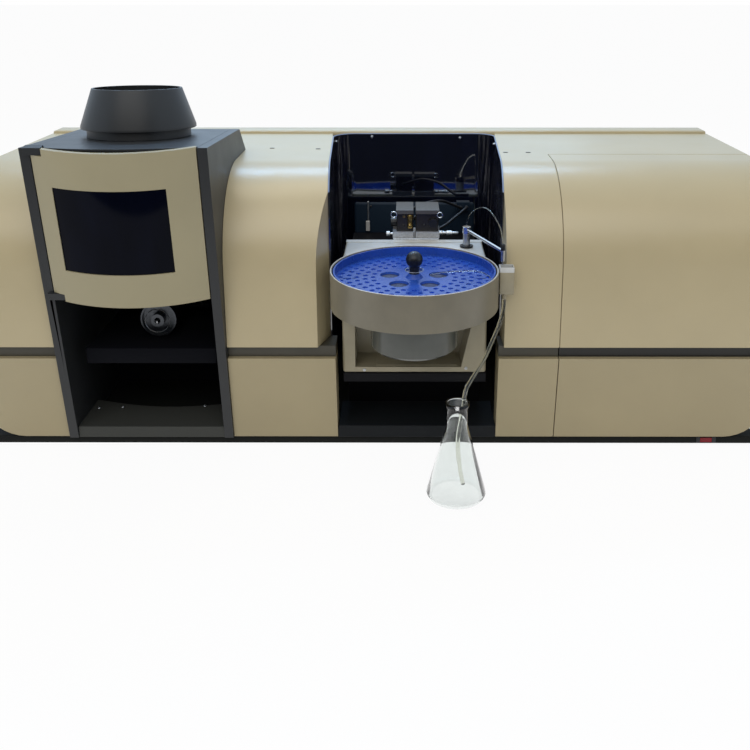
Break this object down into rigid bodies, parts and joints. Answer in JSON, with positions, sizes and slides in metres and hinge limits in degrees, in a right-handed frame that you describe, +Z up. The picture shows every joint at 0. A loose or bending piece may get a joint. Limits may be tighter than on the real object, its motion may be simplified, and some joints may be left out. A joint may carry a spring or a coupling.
{
  "type": "atomic absorption spectrometer",
  "caption": "Cream bench-top spectrometer with a hooded flame bay and chimney, a graphite furnace bay, a round autosampler with a swinging needle arm, and a waste flask on a drain hose.",
  "frame": {"origin": "centre of the bounding box in X and Y, on the bench at z = 0", "axes": "+X to the right along the front, +Y to the rear, +Z up; the front faces -Y"},
  "size_m": [1.224, 0.614, 0.5629],
  "materials": {
    "base_grey": "textured dark paint",
    "bay_black": "matt black paint",
    "brushed_steel": "machined steel",
    "charcoal_paint": "dark green-grey enamel",
    "chrome": "polished",
    "clear_glass": "clear laboratory glass",
    "clear_hose": "milky flexible tubing",
    "cream_paint": "cream enamel",
    "dark_metal": "dark anodised metal",
    "drum_grey": "dark grey moulding",
    "graphite": null,
    "ivory_plastic": "ivory moulding",
    "knob_black": "black moulding",
    "liner_black": "glossy black",
    "panel_blue": "navy grey paint",
    "rack_blue": "bright blue moulding",
    "switch_red": "red moulding",
    "window_dark": "dark filter glass"
  },
  "bodies": {
    "housing": {"arm_guide": "brushed_steel", "base_tray": "base_grey", "bay_shelf": "bay_black", "burner_lift_frame": "brushed_steel", "burner_table": "bay_black", "cavity_sill": "base_grey", "centre_cover": "cream_paint", "centre_lower_panel": "cream_paint", "chimney_collar": "charcoal_paint", "drain_hose": "clear_hose", "fan_frame": "knob_black", "fan_guard": "brushed_steel", "flame_back_wall": "bay_black", "flame_bay_sill": "base_grey", "furnace_back_panel": "panel_blue", "furnace_base": "brushed_steel", "furnace_lead_lower": "knob_black", "furnace_lead_upper": "knob_black", "furnace_liner": "liner_black", "furnace_side_panel": "cream_paint", "gas_inlet_panel": "brushed_steel", "graphite_tube": "graphite", "hood_left_plate": "charcoal_paint", "hood_right_plate": "charcoal_paint", "hood_roof": "charcoal_paint", "left_cover": "cream_paint", "left_furnace_jaw": "dark_metal", "left_furnace_knob": "knob_black", "left_lower_panel": "cream_paint", "lid_hinge_pin": "charcoal_paint", "mains_inlet": "knob_black", "rear_cover": "cream_paint", "right_cover": "cream_paint", "right_lower_panel": "cream_paint", "sampler_body": "ivory_plastic", "sampler_drum": "drum_grey", "switch_bezel": "knob_black", "tray_housing": "ivory_plastic", "turret_bracket": "dark_metal", "wash_cup": "ivory_plastic", "waste_flask": "clear_glass"},
    "flame_door": {"flame_door": "cream_paint", "door_window": "window_dark"},
    "lamp_lid": {"lamp_lid": "cream_paint"},
    "carousel": {"carousel": "rack_blue", "rack_knob": "knob_black"},
    "arm_lift": {"lift_stem": "chrome"},
    "arm_swing": {"sampling_arm": "brushed_steel", "needle_holder": "brushed_steel", "sample_capillary": "clear_hose"},
    "rear_fan": {"rear_fan": "knob_black"},
    "burner": {"burner_head": "brushed_steel", "spray_chamber": "knob_black", "nebulizer": "brushed_steel", "burner_carriage": "dark_metal"},
    "power_rocker": {"power_rocker": "switch_red"},
    "furnace_jaw": {"right_furnace_jaw": "dark_metal", "right_furnace_knob": "knob_black"},
    "lamp_turret": {"lamp_turret": "brushed_steel"}
  },
  "joints": [
    {"name": "door_hinge", "type": "hinge", "parent": "housing", "child": "flame_door", "pos_m": [-0.46103, -0.16379, 0.26316], "axis": [0, 0.1629, -0.9866], "range_deg": [0, 105]},
    {"name": "lid_hinge", "type": "hinge", "parent": "housing", "child": "lamp_lid", "pos_m": [0.28458, 0.047, 0.4385], "axis": [-1, 0, 0], "range_deg": [0, 60]},
    {"name": "carousel_spin", "type": "hinge", "parent": "housing", "child": "carousel", "pos_m": [0.06275, -0.157, 0.294], "axis": [0, 0, 1], "continuous": true},
    {"name": "arm_lift_slide", "type": "slide", "parent": "housing", "child": "arm_lift", "axis": [0, 0, 1], "range_m": [-0.011, 0.02]},
    {"name": "arm_swing_hinge", "type": "hinge", "parent": "arm_lift", "child": "arm_swing", "pos_m": [0.14707, -0.032, 0.304], "axis": [0, 0, -1], "range_deg": [0, 112]},
    {"name": "burner_height_slide", "type": "slide", "parent": "housing", "child": "burner", "axis": [0, 0, 1], "range_m": [0, 0.01]},
    {"name": "power_rocker_hinge", "type": "hinge", "parent": "housing", "child": "power_rocker", "pos_m": [0.5275, -0.1125, 0.0095], "axis": [1, 0, 0], "range_deg": [-8, 8]},
    {"name": "furnace_jaw_slide", "type": "slide", "parent": "housing", "child": "furnace_jaw", "axis": [1, 0, 0], "range_m": [0, 0.01]},
    {"name": "lamp_turret_spin", "type": "hinge", "parent": "housing", "child": "lamp_turret", "pos_m": [0.34498, 0.049, 0.275], "axis": [1, 0, 0], "continuous": true},
    {"name": "rear_fan_spin", "type": "hinge", "parent": "housing", "child": "rear_fan", "pos_m": [-0.462, 0.2915, 0.33], "axis": [0, 1, 0], "continuous": true}
  ]
}
